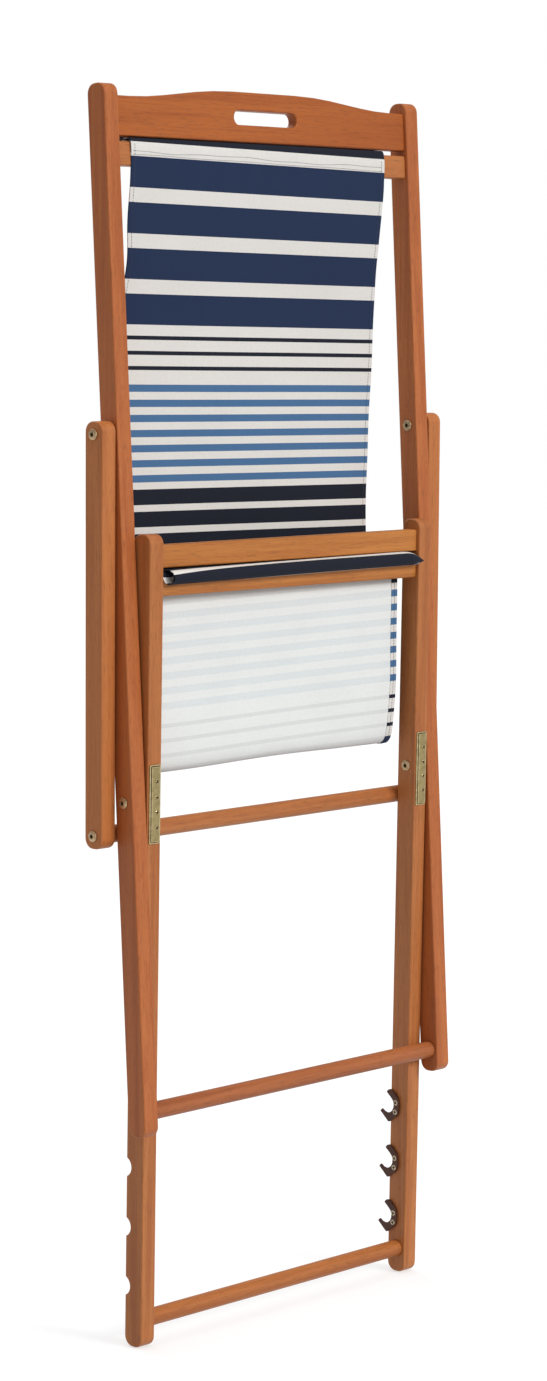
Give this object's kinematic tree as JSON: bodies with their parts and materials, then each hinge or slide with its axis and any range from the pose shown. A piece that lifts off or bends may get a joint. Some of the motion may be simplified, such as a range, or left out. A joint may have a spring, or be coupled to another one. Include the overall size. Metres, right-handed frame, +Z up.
{
  "type": "folding deckchair",
  "caption": "Folding deckchair with a hardwood frame, a striped canvas sling and hooks that set the recline of its prop frame.",
  "frame": {"origin": "on the floor, at the middle of the folded chair's bounding box", "axes": "+Z up along the folded chair, +X across it, +Y towards its rear, the side that the prop frame swings out to"},
  "size_m": [0.5334, 0.084, 1.35],
  "materials": {
    "hardwood": "oiled, satin",
    "slat_wood": "oiled, satin",
    "hook_clip": "moulded, satin",
    "antique_brass": "antiqued, satin",
    "screws": "satin",
    "steel": "zinc plated",
    "canvas": "woven, matt, striped"
  },
  "bodies": {
    "seat_frame": {"seat_post_left": "hardwood", "seat_post_right": "hardwood", "knee_slat_lower": "slat_wood", "knee_slat_upper": "slat_wood", "seat_foot_dowel": "hardwood", "hook_left_1": "hook_clip", "hook_screw_left_1_1": "screws", "hook_screw_left_1_2": "screws", "hook_left_2": "hook_clip", "hook_screw_left_2_1": "screws", "hook_screw_left_2_2": "screws", "hook_left_3": "hook_clip", "hook_screw_left_3_1": "screws", "hook_screw_left_3_2": "screws", "pivot_plate_left": "antique_brass", "plate_screw_left_1": "screws", "plate_screw_left_2": "screws", "plate_screw_left_3": "screws", "plate_screw_left_4": "screws", "hook_right_1": "hook_clip", "hook_screw_right_1_1": "screws", "hook_screw_right_1_2": "screws", "hook_right_2": "hook_clip", "hook_screw_right_2_1": "screws", "hook_screw_right_2_2": "screws", "hook_right_3": "hook_clip", "hook_screw_right_3_1": "screws", "hook_screw_right_3_2": "screws", "pivot_plate_right": "antique_brass", "plate_screw_right_1": "screws", "plate_screw_right_2": "screws", "plate_screw_right_3": "screws", "plate_screw_right_4": "screws", "knee_rod": "steel", "sling_seat_panel": "canvas"},
    "back_frame": {"back_post_left": "hardwood", "back_post_right": "hardwood", "head_rail": "hardwood", "sling_rail": "slat_wood", "back_foot_dowel": "hardwood", "head_rod": "steel", "sling_back_panel": "canvas", "main_pivot_bolt_left": "antique_brass", "main_pivot_nut_left": "antique_brass", "main_pivot_washer_left": "steel", "prop_pivot_bolt_left": "antique_brass", "prop_pivot_nut_left": "antique_brass", "prop_pivot_washer_left": "steel", "main_pivot_bolt_right": "antique_brass", "main_pivot_nut_right": "antique_brass", "main_pivot_washer_right": "steel", "prop_pivot_bolt_right": "antique_brass", "prop_pivot_nut_right": "antique_brass", "prop_pivot_washer_right": "steel"},
    "prop_frame": {"prop_arm_left": "hardwood", "prop_arm_right": "hardwood", "prop_dowel": "hardwood", "prop_dowel_bolt_left": "antique_brass", "prop_dowel_bolt_right": "antique_brass"}
  },
  "joints": [
    {"name": "fold", "type": "hinge", "parent": "seat_frame", "child": "back_frame", "pos_m": [0, -0.01103, 0.5969], "axis": [-1, 0, 0], "range_deg": [0, 115.1]},
    {"name": "prop", "type": "hinge", "parent": "back_frame", "child": "prop_frame", "pos_m": [0, 0.00889, 0.98539], "axis": [1, 0, 0], "range_deg": [0, 66.3]}
  ],
  "couplings": [
    {"joint": "prop", "follows": "fold", "ratio": 0.57569}
  ]
}
